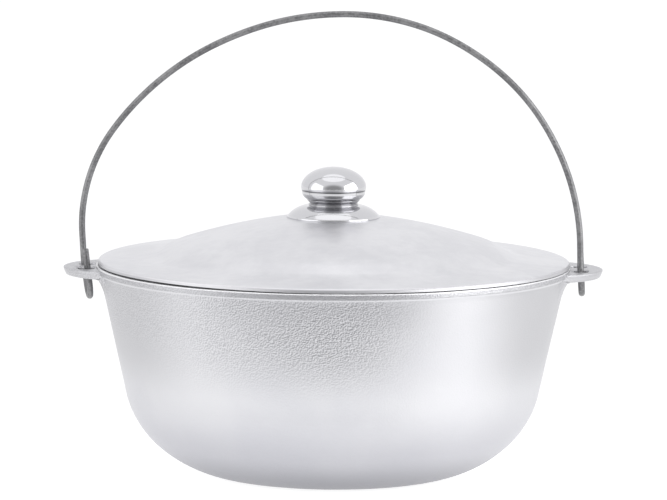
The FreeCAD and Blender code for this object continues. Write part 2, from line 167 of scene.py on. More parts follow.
def turned(profile, segments, shape=None):
    """Points and faces of a profile turned about the axis. shape moves a point, if it is given.

    A profile with both its ends off the axis is closed into a ring.
    """
    points = []
    rings = []
    for r, z in profile:
        if r < ON_AXIS:
            rings.append([len(points)])
            points.append(Vector((0, 0, z)))
            continue
        ring = []
        for step in range(segments):
            angle = 2 * math.pi * step / segments
            ring.append(len(points))
            points.append(Vector((r * math.cos(angle), r * math.sin(angle), z)))
        rings.append(ring)
    faces = []
    pairs = list(zip(rings, rings[1:]))
    if len(rings[0]) > 1 and len(rings[-1]) > 1:
        pairs.append((rings[-1], rings[0]))
    for low, high in pairs:
        for step in range(segments):
            after = (step + 1) % segments
            if len(low) == 1 and len(high) == 1:
                continue
            if len(low) == 1:
                faces.append((low[0], high[after], high[step]))
            elif len(high) == 1:
                faces.append((low[step], low[after], high[0]))
            else:
                faces.append((low[step], low[after], high[after], high[step]))
    if shape:
        points = [shape(point) for point in points]
    return points, faces


WIDE_WAVE = 42.0
NEAR_WAVE = 13.0
NEAR_SHIFT = Vector((7.0, 3.0, 5.0))
NEAR_SHARE = 0.35


def uneven(point, amount):
    """The point moved a little, as a casting is never quite true."""
    wide = noise.noise_vector(point / WIDE_WAVE)
    near = noise.noise_vector(point / NEAR_WAVE + NEAR_SHIFT)
    return point + (wide + near * NEAR_SHARE) * amount


# Pot

BASE_RADIUS = 58.6
BASE_ARC = 78.5
BASE_ARC_END = 42.5
CORNER_ARC = 62.5
WALL_SLOPE = 77.5
POT_WALL = 4.0
EAR_TOP = RIM - 1.4
EAR_LOW = EAR_TOP - 5.0
EAR_ROUND = 38.0
EAR_CENTRE = EAR_REACH - EAR_ROUND
EYE_REACH = 155.4
EYE_WIDTH = 10.0
EYE_NEAR = 5.4
EYE_FAR = 18.6
EYE_CORNER = 2.5
FORK = 110.0          # height where the lip's and the ear's sections part
MOUTH_LOW = 118.0     # height where the inside's fine rows begin
RIM_INNER = 147.6     # radius on the rim's top where the outer section ends
FLAT_RADII = (14.0, 28.0, 42.0)
WALL_ROWS = 16
CASTING_WANDER = 0.16


def pot_side(inset):
    """The pot's side from the base's flat to the end of the corner, and its straight wall as a function."""
    slope = math.radians(WALL_SLOPE)
    bend = math.radians(BASE_ARC_END)
    corner_x = BASE_RADIUS + (BASE_ARC - CORNER_ARC) * math.sin(bend)
    corner_z = BASE_ARC - (BASE_ARC - CORNER_ARC) * math.cos(bend)
    path = arc((BASE_RADIUS, BASE_ARC), BASE_ARC - inset, -90, BASE_ARC_END - 90, 16)
    path += arc((corner_x, corner_z), CORNER_ARC - inset, BASE_ARC_END - 90, WALL_SLOPE - 90, 14)[1:]
    end = path[-1]

    def wall(z):
        return end[0] + (z - end[1]) / math.tan(slope)

    return path, wall


outer_side, outer_wall = pot_side(0.0)
inner_side, inner_wall = pot_side(POT_WALL)


def curve_between(start, control, end, count=12):
    """Points on a curve from start to end that is drawn towards a control point."""
    points = []
    for step in range(count + 1):
        t = step / count
        a, b, c = (1 - t) ** 2, 2 * t * (1 - t), t * t
        points.append(tuple(a * start[i] + b * control[i] + c * end[i] for i in (0, 1)))
    return points


SECTION_COUNTS = (12, 8, 9, 9, 7)    # rows in each of a rim section's five runs


def lip_section():
    """The rim's section away from the ears: a plain band, a chamfer under it and a fine step to the wall."""
    step_z = RIM - 5.1
    return (
        rounded([
            (outer_wall(FORK), FORK, 0), (outer_wall(step_z - 0.6), step_z - 0.6, 0.5), (147.5, step_z, 0),
        ]),
        rounded([(147.5, step_z, 0), (148.1, step_z + 0.1, 0.3), (149.1, RIM - 3.7, 0)]),
        rounded([(149.1, RIM - 3.7, 0), (149.35, RIM - 3.4, 0.3), (149.4, RIM - 2.6, 0)]),
        [(149.4, RIM - 2.6), (LIP - 0.1, RIM - 1.0)],
        rounded([(LIP - 0.1, RIM - 1.0, 0), (LIP - 0.1, RIM, 0.9), (RIM_INNER, RIM, 0)]),
    )


def ear_section(reach):
    """The section through an ear that reaches that far from the axis. Its edge leans in downwards."""
    curl = 12    # degrees that the edge's two rounds stop short of level
    low_bend = 112.5
    spare = reach - LIP
    gusset = min(152.5, LIP + 0.5 * spare)
    lean = min(1.1, 0.5 * spare)
    round_low = min(1.6, 0.4 * spare + 0.2)
    round_top = min(0.7, 0.4 * spare + 0.2)
    return (
        [(outer_wall(FORK), FORK)]
        + curve_between(
            (outer_wall(low_bend), low_bend), (outer_wall(EAR_LOW) + 0.2, EAR_LOW - 0.4), (gusset, EAR_LOW),
        ),
        [(gusset, EAR_LOW), (reach - lean - round_low, EAR_LOW)],
        arc((reach - lean - round_low, EAR_LOW + round_low), round_low, -90, -curl, 6)
        + arc((reach - round_top, EAR_TOP - round_top), round_top, -curl, 90, 6),
        [(reach - round_top, EAR_TOP), (LIP + 0.6, EAR_TOP)],
        rounded([
            (LIP + 0.6, EAR_TOP, 0), (LIP - 0.1, EAR_TOP, 0.5), (LIP - 0.1, RIM, 0.5), (RIM_INNER, RIM, 0),
        ]),
    )


def ear_reach(angle):
    """How far the rim reaches at an angle from +X: to the lip, or to an ear's outline if that is further."""
    across = EAR_CENTRE * math.sin(angle)
    along = EAR_CENTRE * abs(math.cos(angle))
    ear = along + math.sqrt(max(0.0, EAR_ROUND ** 2 - across ** 2))
    blend = 1.6
    no_ear = -14
    gap = ear - LIP
    return LIP + (gap + math.sqrt(gap * gap + blend * blend)) / 2 if gap > no_ear else LIP


def rim_section(angle):
    """The rim's outer section at one angle, from the wall to the rim's top."""
    reach = ear_reach(angle)
    share = smoothstep(0.3, 3.6, reach - LIP)
    section = []
    for lip, ear, count in zip(lip_section(), ear_section(reach), SECTION_COUNTS):
        for a, b in zip(resample(lip, count)[:-1], resample(ear, count)[:-1]):
            section.append((a[0] + (b[0] - a[0]) * share, a[1] + (b[1] - a[1]) * share))
    return section


def pot_angles():
    """Angles round the pot, close together at the ears."""
    half = 19.0
    near, far = 76, 110
    angles = []
    for ear in (0.0, 180.0):
        angles += [ear - half + 2 * half * step / near for step in range(near)]
        angles += [ear + half + (180 - 2 * half) * step / far for step in range(far)]
    return [math.radians(angle) for angle in angles]


def make_pot(material):
    straight_z = outer_side[-1][1]
    outside = [(r, 0.0) for r in FLAT_RADII] + outer_side
    for step in range(1, WALL_ROWS):
        z = straight_z + (FORK - straight_z) * step / WALL_ROWS
        outside.append((outer_wall(z), z))
    mouth_end = (inner_wall(MOUTH_LOW), MOUTH_LOW)
    mouth = rounded([(RIM_INNER, RIM, 0), (inner_wall(RIM), RIM, 0.9), (*mouth_end, 0)])
    inner_z = inner_side[-1][1]
    inside = resample([mouth_end, (inner_wall(inner_z), inner_z)], WALL_ROWS)[1:]
    inside += list(reversed(inner_side))[1:]
    inside += [(r, POT_WALL) for r in reversed(FLAT_RADII)]

    angles = pot_angles()
    columns = [outside + rim_section(angle) + mouth + inside for angle in angles]
    rows = len(columns[0])
    points = []
    for angle, column in zip(angles, columns):
        for row, (r, z) in enumerate(column):
            point = uneven(Vector((r * math.cos(angle), r * math.sin(angle), z)), CASTING_WANDER)
            point.x = min(EAR_REACH, max(-EAR_REACH, point.x))
            point.z = 0.0 if row <= len(FLAT_RADII) else max(0.0, point.z)
            points.append(point)
    bottom, floor = len(points), len(points) + 1
    points += [Vector((0, 0, 0)), Vector((0, 0, POT_WALL))]
    faces = []
    for column in range(len(angles)):
        here = column * rows
        after = (column + 1) % len(angles) * rows
        for row in range(rows - 1):
            faces.append((here + row, after + row, after + row + 1, here + row + 1))
        faces.append((bottom, after, here))
        faces.append((floor, here + rows - 1, after + rows - 1))
    pot = new_piece("pot", points, faces, "pot", ["pot_body"], material)
    cut_ear_holes(pot)


def eye_outline(grow, steps=6):
    """An ear hole's outline in plan, for the ear on +X and the hole on +Y, grown most to its two ends."""
    low, high = EYE_REACH - EYE_WIDTH / 2, EYE_REACH + EYE_WIDTH / 2
    flare = 2.2
    centres = [
        (high - EYE_CORNER, EYE_FAR - EYE_CORNER, 0),
        (low + EYE_CORNER, EYE_FAR - EYE_CORNER, 90),
        (low + EYE_CORNER, EYE_NEAR + EYE_CORNER, 180),
        (high - EYE_CORNER, EYE_NEAR + EYE_CORNER, 270),
    ]
    outline = []
    for x, y, start in centres:
        for across, along in arc((0.0, 0.0), 1.0, start, start + 90, steps):
            outline.append((x + across * (EYE_CORNER + grow), y + along * (EYE_CORNER + grow * flare)))
    return outline


def cut_ear_holes(pot):
    """Cuts two holes through each ear, with their top edges worn round."""
    edge, edge_depth = 0.8, 1.8
    levels = [(EAR_LOW - 16.0, 0.0), (EAR_LOW + edge, 0.0), (EAR_TOP - edge_depth, 0.0)]
    for degrees in (15.0, 30.0, 45.0, 60.0, 75.0):
        angle = math.radians(degrees)
        levels.append((EAR_TOP - edge_depth + edge_depth * math.sin(angle), edge * (1 - math.cos(angle))))
    levels += [(EAR_TOP + 0.05, edge), (EAR_TOP + 2.0, edge)]
    for way_x in (-1, 1):
        for way_y in (-1, 1):
            points, faces = [], []
            for z, grow in levels:
                points += [Vector((x * way_x, y * way_y, z)) * MM for x, y in eye_outline(grow)]
            count = len(eye_outline(0.0))
            for level in range(len(levels) - 1):
                for step in range(count):
                    after = (step + 1) % count
                    here = level * count
                    faces.append((here + step, here + after, here + count + after, here + count + step))
            faces.append(tuple(range(count)))
            faces.append(tuple(range(len(points) - count, len(points))))
            cutter_mesh = bpy.data.meshes.new("cutter")
            cutter_mesh.from_pydata(points, [], faces)
            tidy_mesh(cutter_mesh)
            cutter = bpy.data.objects.new("cutter", cutter_mesh)
            bpy.context.scene.collection.objects.link(cutter)
            hole = pot.modifiers.new("hole", "BOOLEAN")
            hole.object = cutter
            hole.operation = "DIFFERENCE"
            hole.solver = "EXACT"
            bpy.context.view_layer.update()
            evaluated = pot.evaluated_get(bpy.context.evaluated_depsgraph_get())
            result = bpy.data.meshes.new_from_object(evaluated)
            pot.modifiers.clear()
            pot.data = result
            bpy.data.objects.remove(cutter)
    shade(pot.data)


# Lid and knob

LID_WALL = 3.0
LID_WANDER = 0.10
LID_SEGMENTS = 300
LID_RIGHT = 0.5     # the lid sits loosely: a little to the right and back, and proud on the left
LID_BACK = 0.3
LID_PROUD = 0.6


def make_lid(material):
    dome = [
        (3.3, 30.4), (29.9, 30.4),
        *arc_from((30.0, 30.4), (97.6, 14.9), 440.0, 14),
        *arc_from((97.6, 14.9), (105.3, 11.6), 50.0, 6),
        *arc_from((110.8, 8.6), (119.7, 5.8), -25.0, 8),
        (134.0, 4.35),
    ]
    edge = rounded([
        (134.0, 4.35, 0), (148.3, 2.95, 1.6), (149.1, 0.4, 0.3), (146.2, 0.35, 0.2),
        (145.8, 0.0, 0.15), (141.2, 0.0, 0.4), (141.2, -5.0, 0.7), (138.2, -5.0, 0.7), (138.2, 0.8, 0.8),
        (130.0, 4.75 - LID_WALL, 0),
    ])
    under = [(r, z - LID_WALL) for r, z in reversed(dome[:-1])]
    profile = [(r, z + RIM) for r, z in dome + edge[1:] + under]

    def shaped(point):
        """The point moved as the lid sits, and as its dome isn't quite true. The knob's seat stays put."""
        reach = math.hypot(point.x, point.y)
        off_seat = smoothstep(40.0, 60.0, reach)
        wander = off_seat * (1 - smoothstep(140.0, 149.0, reach) * 0.7)
        moved = point + (uneven(point, LID_WANDER) - point) * wander
        moved.x += LID_RIGHT * off_seat
        moved.y += LID_BACK * off_seat
        moved.z += LID_PROUD * smoothstep(0.0, 140.0, -point.x) * smoothstep(120.0, 147.0, reach)
        return moved

    points, faces = turned(profile, LID_SEGMENTS, shaped)
    new_piece("lid_casting", points, faces, "lid", ["lid"], material)


def arc_from(start, end, radius, count):
    """Points after start on the shorter arc to end, bulging up and out if the radius is positive."""
    a, b = Vector(start), Vector(end)
    middle = (a + b) / 2
    half = (b - a).length / 2
    way = 1 if radius > 0 else -1
    side = Vector(((b - a).y, -(b - a).x)).normalized() * way
    centre = middle + side * math.sqrt(radius * radius - half * half)
    first, last = a - centre, b - centre
    sweep = -first.angle_signed(last)
    points = []
    for step in range(1, count + 1):
        angle = sweep * step / count
        points.append((
            centre.x + first.x * math.cos(angle) - first.y * math.sin(angle),
            centre.y + first.x * math.sin(angle) + first.y * math.cos(angle),
        ))
    return points


KNOB_SHEET = 1.0
DISH_SEGMENTS = 160
KNOB_SEGMENTS = 128
SCREW_HOLE = 3.4
CAP_MIDDLE = 19.0    # height of the cap's widest place above the lid's flat
CAP_RADIUS = 20.65


def cap_dome(radius, top, count):
    """A quarter of an ellipse, from the cap's widest place up to its top."""
    points = []
    for step in range(count + 1):
        angle = math.radians(90.0 * step / count)
        points.append((radius * math.cos(angle), CAP_MIDDLE + (top - CAP_MIDDLE) * math.sin(angle)))
    return points


def knob_piece(name, node, profile, segments, material):
    """A turned piece of the knob, from a profile with heights above the lid's flat."""
    points, faces = turned([(r, z + PAD) for r, z in profile], segments)
    new_piece(name, points, faces, "lid", [node], material)


def make_knob(material):
    dish_top = DISH_TOP - PAD
    dish = rounded([
        (28.5, 0.0, 0), (29.4, 0.0, 0.15), (29.4, 1.1, 0.25), (28.9, 1.2, 0),
    ], 4)
    dish += arc_from((28.9, 1.2), (17.6, dish_top - 0.05), -19.0, 14)
    under = dish_top - KNOB_SHEET
    dish += [(15.0, dish_top), (SCREW_HOLE, dish_top), (SCREW_HOLE, under), (16.5, under)]
    dish += arc_from((16.5, under), (28.4, 0.9), 18.0, 12)
    knob_piece("knob_dish", "knob_base", dish, DISH_SEGMENTS, material)

    seam = SEAM - PAD
    shell = rounded([
        (SCREW_HOLE, dish_top, 0), (15.7, dish_top, 0.25), (15.7, dish_top + 0.75, 0.3),
        (15.0, dish_top + 1.0, 0.3),
        (15.15, 9.3, 0.8), (16.75, 11.05, 0.12), (16.6, 11.4, 0.1), (17.25, 11.75, 0),
    ])
    shell += arc_from((17.25, 11.75), (19.75, 14.5), -7.0, 8)
    shell += rounded([
        (19.75, 14.5, 0), (19.5, 14.75, 0.1), (19.95, 15.1, 0.2), (20.1, seam - 0.25, 0.2),
        (19.9, seam, 0.1), (19.1, seam, 0), (18.8, 14.6, 0.5), (15.9, 11.9, 1.0), (14.0, 9.4, 0.8),
        (14.0, dish_top + KNOB_SHEET, 0.4), (SCREW_HOLE, dish_top + KNOB_SHEET, 0),
    ])[1:]
    knob_piece("knob_lower", "knob_shell", shell, KNOB_SEGMENTS, material)

    top = KNOB_TOP - PAD
    cap = rounded([
        (19.2, seam + 0.02, 0), (20.0, seam + 0.02, 0.1), (20.35, seam + 0.35, 0.25), (20.62, 18.6, 0),
    ])
    cap += cap_dome(CAP_RADIUS, top, 30)
    cap += reversed(cap_dome(CAP_RADIUS - KNOB_SHEET, top - KNOB_SHEET, 20))
    knob_piece("knob_upper", "knob_cap", cap, KNOB_SEGMENTS, material)


# Bail

WIRE = 4.0
WIRE_SIDES = 20
HOOK_WIDTH = 17.4
HOOK_STEPS = 18
LEG_BEND = 60.0       # radius of the slight bend where a leg becomes its hook
CROWN_RIGHT = 7.9     # how far right of the middle the arch is highest
CROWN_SPARE = 0.02    # what is left between the wire's top and the CAD box
ARCH_TURN = math.radians(3.1)
BAIL_WAVE = 55.0
BAIL_WAVE_SHIFT = Vector((2.0, 9.0, 4.0))
BAIL_WANDER = 0.45
UP = Vector((0, 0, 1))


def bail_side(side, arcs, hook_angle, hook_depth, tail_rise, twist):
    """One side of the bail's centre line, from the top of the arch to its tail's end.

    Headings run from outward, at 0 degrees, through straight down, at 90, to inward. The arcs are
    (radius, degrees), and the twist is how far the hook's U is turned out of the YZ plane.
    """
    axis = Vector((math.cos(ARCH_TURN), -math.sin(ARCH_TURN), 0))
    outward = axis * side
    line = [axis * CROWN_RIGHT + UP * (BAIL_TOP - WIRE / 2 - CROWN_SPARE)]
    heading = 0.0

    def along(angle):
        return outward * math.cos(math.radians(angle)) - UP * math.sin(math.radians(angle))

    def bend(radius, degrees, spacing):
        nonlocal heading
        steps = max(3, round(radius * math.radians(abs(degrees)) / spacing))
        chord = 2 * radius * math.sin(math.radians(abs(degrees)) / steps / 2)
        for _ in range(steps):
            line.append(line[-1] + along(heading + degrees / steps / 2) * chord)
            heading += degrees / steps

    def run_to(z, steps):
        way = along(heading)
        length = (z - line[-1].z) / way.z
        start = line[-1]
        for step in range(1, steps + 1):
            line.append(start + way * (length * step / steps))

    for radius, degrees in arcs:
        bend(radius, degrees, 3.0)
    bend_fall = LEG_BEND * abs(math.cos(math.radians(hook_angle)) - math.cos(math.radians(heading)))
    run_to(EAR_TOP + 2.0 + bend_fall, 5)
    bend(LEG_BEND, hook_angle - heading, 2.0)

    radius = HOOK_WIDTH / 2
    down = along(heading)
    across = Vector((-side * math.sin(math.radians(twist)), side * math.cos(math.radians(twist)), 0))
    across = (across - down * across.dot(down)).normalized()
    run_to(EAR_TOP - hook_depth - down.z * radius, 10)
    foot = line[-1]
    for step in range(1, HOOK_STEPS + 1):
        angle = math.pi * step / HOOK_STEPS
        line.append(foot + across * (radius - radius * math.cos(angle)) + down * (radius * math.sin(angle)))
    run_to(EAR_TOP + tail_rise, 10)
    return line


def make_bail(material):
    left = bail_side(
        -1, [(182.9, 53.7), (100.5, 39.7)], hook_angle=97.0, hook_depth=19.3, tail_rise=11.6, twist=8.5,
    )
    right = bail_side(1, [(147.8, 88.8)], hook_angle=87.0, hook_depth=15.5, tail_rise=9.6, twist=-3.0)
    bent = []
    for point in list(reversed(left)) + right[1:]:
        free = smoothstep(EAR_TOP + 12.0, EAR_TOP + 40.0, point.z)
        free *= 1 - smoothstep(RIM + 140.0, RIM + 158.0, point.z)
        bent.append(point + noise.noise_vector(point / BAIL_WAVE + BAIL_WAVE_SHIFT) * BAIL_WANDER * free)
    points, faces = tube(bent, WIRE / 2, WIRE_SIDES)
    new_piece("bail_wire", points, faces, "bail", ["bail"], material)


def tube(line, radius, sides):
    """A round wire along a line, with its ends cut square and slightly burred."""
    burr = [(0.55, -0.02), (0.86, 0.02), (0.97, 0.10), (1.0, 0.35)]    # shares of the radius, and depths
    count = len(line)
    tangents = []
    for index in range(count):
        before, after = line[max(0, index - 1)], line[min(count - 1, index + 1)]
        tangents.append((after - before).normalized())
    normal = tangents[0].orthogonal().normalized()
    rings = []
    for index in range(count):
        if index:
            turn = tangents[index - 1].rotation_difference(tangents[index])
            normal = (turn @ normal).normalized()
        rings.append((line[index], tangents[index], normal, radius))
    centre, tangent, across, _ = rings[0]
    start = [(centre + tangent * depth, tangent, across, radius * share) for share, depth in burr]
    centre, tangent, across, _ = rings[-1]
    end = [(centre - tangent * depth, tangent, across, radius * share) for share, depth in reversed(burr)]
    rings = start + rings[1:-1] + end
    points, faces = [], []
    for centre, tangent, across, size in rings:
        other = tangent.cross(across)
        for step in range(sides):
            angle = 2 * math.pi * step / sides
            points.append(centre + (across * math.cos(angle) + other * math.sin(angle)) * size)
    for ring in range(len(rings) - 1):
        for step in range(sides):
            after = (step + 1) % sides
            here = ring * sides
            faces.append((here + step, here + after, here + sides + after, here + sides + step))
    faces.append(tuple(range(sides)))
    faces.append(tuple(range(len(points) - sides, len(points))))
    return points, faces


# Materials

class Nodes:
    """Short calls for building a material's node tree."""

    def __init__(self, name):
        self.material = bpy.data.materials.new(name)
        self.material.use_nodes = True
        self.tree = self.material.node_tree
        self.shader = self.tree.nodes["Principled BSDF"]
        self.coords = self.tree.nodes.new("ShaderNodeTexCoord").outputs["Object"]

    def link(self, source, target):
        self.tree.links.new(source, target)

    def noise(self, scale, detail=2.0, roughness=0.5, stretch=(1.0, 1.0, 1.0), shift=(0.0, 0.0, 0.0)):
        mapping = self.tree.nodes.new("ShaderNodeMapping")
        mapping.inputs["Scale"].default_value = stretch
        mapping.inputs["Location"].default_value = shift
        self.link(self.coords, mapping.inputs["Vector"])
        node = self.tree.nodes.new("ShaderNodeTexNoise")
        node.inputs["Scale"].default_value = scale
        node.inputs["Detail"].default_value = detail
        node.inputs["Roughness"].default_value = roughness
        self.link(mapping.outputs["Vector"], node.inputs["Vector"])
        return node.outputs["Fac"]

    def ramp(self, source, low, high, to_low, to_high):
        node = self.tree.nodes.new("ShaderNodeMapRange")
        node.interpolation_type = "SMOOTHSTEP"
        for name, value in (("From Min", low), ("From Max", high), ("To Min", to_low), ("To Max", to_high)):
            node.inputs[name].default_value = value
        self.link(source, node.inputs["Value"])
        return node.outputs["Result"]

    def math(self, operation, a, b):
        node = self.tree.nodes.new("ShaderNodeMath")
        node.operation = operation
        for socket, value in zip(node.inputs, (a, b)):
            if isinstance(value, (int, float)):
                socket.default_value = value
            else:
                self.link(value, socket)
        return node.outputs["Value"]

    def product(self, first, *others):
        for other in others:
            first = self.math("MULTIPLY", first, other)
        return first

    def from_plane(self, coordinate, place=0.0):
        """Distance from the plane where the coordinate has that value."""
        return self.math("ABSOLUTE", self.math("SUBTRACT", coordinate, place), 0.0)

    def axis(self, name):
        node = self.tree.nodes.new("ShaderNodeSeparateXYZ")
        self.link(self.coords, node.inputs["Vector"])
        return node.outputs[name]

    def mix(self, share, first, second):
        node = self.tree.nodes.new("ShaderNodeMix")
        node.data_type = "RGBA"
        for name, value in (("A", first), ("B", second)):
            socket = next(s for s in node.inputs if s.name == name and s.type == "RGBA")
            if isinstance(value, tuple):
                socket.default_value = (*value, 1.0)
            else:
                self.link(value, socket)
        self.link(share, node.inputs["Factor"])
        return next(s for s in node.outputs if s.type == "RGBA")

    def bump(self, height, strength, distance, below=None):
        node = self.tree.nodes.new("ShaderNodeBump")
        node.inputs["Distance"].default_value = distance
        if isinstance(strength, (int, float)):
            node.inputs["Strength"].default_value = strength
        else:
            self.link(strength, node.inputs["Strength"])
        self.link(height, node.inputs["Height"])
        if below is not None:
            self.link(below, node.inputs["Normal"])
        return node.outputs["Normal"]


# Pot. A range is the two ends of a ramp, in metres of height or across the pot.
BAND_LOW = (RIM - 3.5) * MM     # the lip's plain band, which is painted a little darker than the wall, as shade
BAND_TOP = (RIM - 1.1) * MM
OFF_EAR = (0.142, 0.149)
SANDY_HEIGHTS = (0.060, 0.108)
SANDY_X, SANDY_REACH = -0.010, (0.010, 0.095)
GRAIN_X, GRAIN_REACH = -0.028, (0.012, 0.100)
LEFT_PATCH_X, LEFT_PATCH_HEIGHTS = (-0.120, -0.090), (0.085, 0.105)
RIGHT_HIGHLIGHT_X, RIGHT_HIGHLIGHT_REACH = 0.080, (0.0, 0.050)
FLANK_SHADE_REACH, FLANK_SHADE_HEIGHTS = (0.078, 0.122), (0.05, 0.09)
SHADED_HEIGHTS = (0.098, 0.124)
LOW_SHADE_HEIGHTS = (0.024, 0.066)
FOOT_SHADE_HEIGHTS = (0.0, 0.027)
CONTACT_SHADOW_HEIGHTS = (0.0, 0.0022)

GRAIN_SCALE = 900.0
GRAIN_STRETCH = (1.0, 1.0, 1.3)
GRAIN_OFFSET = (0.00035, 0.0, -0.00045)    # towards the light, so that each grain gets a painted lit side and a painted shaded side
GRAIN_CONTRAST = (-0.15, 0.13)
GRAIN_HEIGHT = 0.0008

CAST_DARK, CAST_PALE = (0.625, 0.627, 0.653), (0.680, 0.681, 0.699)
# painted highlight: a paler strip on the pot's right side, standing in for a lamp's reflection
RIGHT_HIGHLIGHT_COLOUR = (0.78, 0.78, 0.80)
# painted shade on the pot's left and right flanks, from mid-height up
FLANK_SHADE_COLOUR = (0.535, 0.535, 0.550)
# the sand grain's own grey together with painted shade, high on the front and back
SANDY_SHADE_COLOUR = (0.495, 0.495, 0.510)
SHADED_COLOUR = (0.335, 0.335, 0.350)
# the grain's painted shaded side and painted lit side
GRAIN_SHADED_SIDE, GRAIN_LIT_SIDE = (0.27, 0.27, 0.285), (0.74, 0.74, 0.76)
# painted shade on the lip's plain band
BAND_SHADE_COLOUR = (0.36, 0.36, 0.375)
# painted highlight on the step under the lip's chamfer
STEP_HIGHLIGHT_COLOUR = (0.74, 0.74, 0.76)
# painted highlight along the rim's rounded top edge
RIM_HIGHLIGHT_COLOUR = (0.93, 0.93, 0.94)
# painted shade low on the wall
LOW_SHADE_COLOUR = (0.37, 0.37, 0.405)
# painted shade at the pot's foot
FOOT_SHADE_COLOUR = (0.19, 0.19, 0.212)
# painted contact shadow along the base
CONTACT_SHADOW_COLOUR = (0.12, 0.12, 0.13)


def cast_pot_material():
    """Sand-cast aluminium: grainy high on the front and back, smoother elsewhere, with much painted light
    and shade in its colour: greyer high on the front and back (the grain's own grey and painted shade),
    painted shade on the flanks, under the lip, on the lip's band and towards the foot, a painted contact
    shadow at the base, painted highlights on the right side, the rim's top edge and the step under the lip,
    and a painted lit and shaded side on each grain.
    """
    n = Nodes("cast_pot")
    n.shader.inputs["Metallic"].default_value = 1.0
    x, z = n.axis("X"), n.axis("Z")
    high = n.ramp(z, *SANDY_HEIGHTS, 0.0, 1.0)
    wavering = n.ramp(n.noise(16.0, 2.0), 0.3, 0.65, 0.6, 1.0)
    facing = n.ramp(n.from_plane(x, SANDY_X), *SANDY_REACH, 1.0, 0.0)
    # the sandy zone high on the front and back: rougher, and greyer with painted shade
    sandy_and_shade = n.product(facing, high, wavering)
    off_ear = n.ramp(n.from_plane(x), *OFF_EAR, 1.0, 0.15)
    band = n.product(
        n.ramp(z, BAND_LOW - 0.0004, BAND_LOW, 0.0, 1.0),
        n.ramp(z, BAND_TOP, BAND_TOP + 0.0003, 1.0, 0.0),
        off_ear,
    )

    left_patch = n.product(n.ramp(x, *LEFT_PATCH_X, 0.30, 0.0), n.ramp(z, *LEFT_PATCH_HEIGHTS, 0.0, 1.0))
    rough = n.product(n.ramp(n.from_plane(x, GRAIN_X), *GRAIN_REACH, 1.0, 0.0), high, wavering)
    rough = n.math("MAXIMUM", n.math("ADD", rough, left_patch), n.product(band, 0.5))
    grain = n.noise(GRAIN_SCALE, 1.0, 0.5, GRAIN_STRETCH)
    grain_beside = n.noise(GRAIN_SCALE, 1.0, 0.5, GRAIN_STRETCH, GRAIN_OFFSET)
    shading = n.math("SUBTRACT", grain, grain_beside)
    depth = n.math("ADD", n.product(rough, 0.85), 0.15)
    n.link(n.bump(grain, depth, GRAIN_HEIGHT), n.shader.inputs["Normal"])

    cloudy = n.ramp(n.noise(15.0, 3.0), 0.3, 0.7, 0.0, 1.0)
    colour = n.mix(cloudy, CAST_DARK, CAST_PALE)
    # painted highlight on the pot's right side, standing in for a lamp's reflection
    colour = n.mix(n.ramp(n.from_plane(x, RIGHT_HIGHLIGHT_X), *RIGHT_HIGHLIGHT_REACH, 0.5, 0.0), colour, RIGHT_HIGHLIGHT_COLOUR)
    # painted shade on the pot's left and right flanks, from mid-height up
    edges = n.product(n.ramp(n.from_plane(x), *FLANK_SHADE_REACH, 0.0, 0.85), n.ramp(z, *FLANK_SHADE_HEIGHTS, 0.0, 1.0))
    colour = n.mix(edges, colour, FLANK_SHADE_COLOUR)
    # the sand grain's own grey together with painted shade, high on the front and back
    colour = n.mix(sandy_and_shade, colour, SANDY_SHADE_COLOUR)
    colour = n.mix(n.product(facing, n.ramp(z, *SHADED_HEIGHTS, 0.0, 0.55)), colour, SHADED_COLOUR)
    # the sand grain, with a painted lit side and a painted shaded side on each grain
    grain_light_and_shade = n.mix(n.ramp(shading, *GRAIN_CONTRAST, 0.0, 1.0), GRAIN_SHADED_SIDE, GRAIN_LIT_SIDE)
    colour = n.mix(n.product(rough, 0.8), colour, grain_light_and_shade)
    # painted shade on the lip's band, deepest on the front and back
    band_shade_share = n.math("ADD", n.product(facing, 0.55), 0.30)
    colour = n.mix(n.product(band, band_shade_share), colour, BAND_SHADE_COLOUR)
    # painted highlight on the step under the lip's chamfer
    step = n.product(
        n.ramp(z, BAND_LOW - 0.0018, BAND_LOW - 0.0014, 0.0, 0.7),
        n.ramp(z, BAND_LOW - 0.0006, BAND_LOW - 0.0003, 1.0, 0.0),
        off_ear,
    )
    colour = n.mix(step, colour, STEP_HIGHLIGHT_COLOUR)
    # painted highlight along the rim's rounded top edge
    colour = n.mix(n.ramp(z, BAND_TOP + 0.0002, BAND_TOP + 0.0006, 0.0, 0.9), colour, RIM_HIGHLIGHT_COLOUR)
    # painted shade towards the bottom of the wall
    colour = n.mix(n.ramp(z, *LOW_SHADE_HEIGHTS, 0.55, 0.0), colour, LOW_SHADE_COLOUR)
    # deeper painted shade at the pot's foot
    colour = n.mix(n.ramp(z, *FOOT_SHADE_HEIGHTS, 0.68, 0.0), colour, FOOT_SHADE_COLOUR)
    # painted contact shadow along the base
    colour = n.mix(n.ramp(z, *CONTACT_SHADOW_HEIGHTS, 0.6, 0.0), colour, CONTACT_SHADOW_COLOUR)
    n.link(colour, n.shader.inputs["Base Color"])
    n.link(n.ramp(sandy_and_shade, 0.0, 1.0, 0.42, 0.50), n.shader.inputs["Roughness"])
    return n.material


LID_DARK, LID_PALE = (0.690, 0.690, 0.712), (0.770, 0.770, 0.786)
LID_EDGE_COLOUR = (0.50, 0.50, 0.515)
LID_EDGE_HEIGHTS = ((RIM + 2.1) * MM, (RIM + 2.8) * MM)


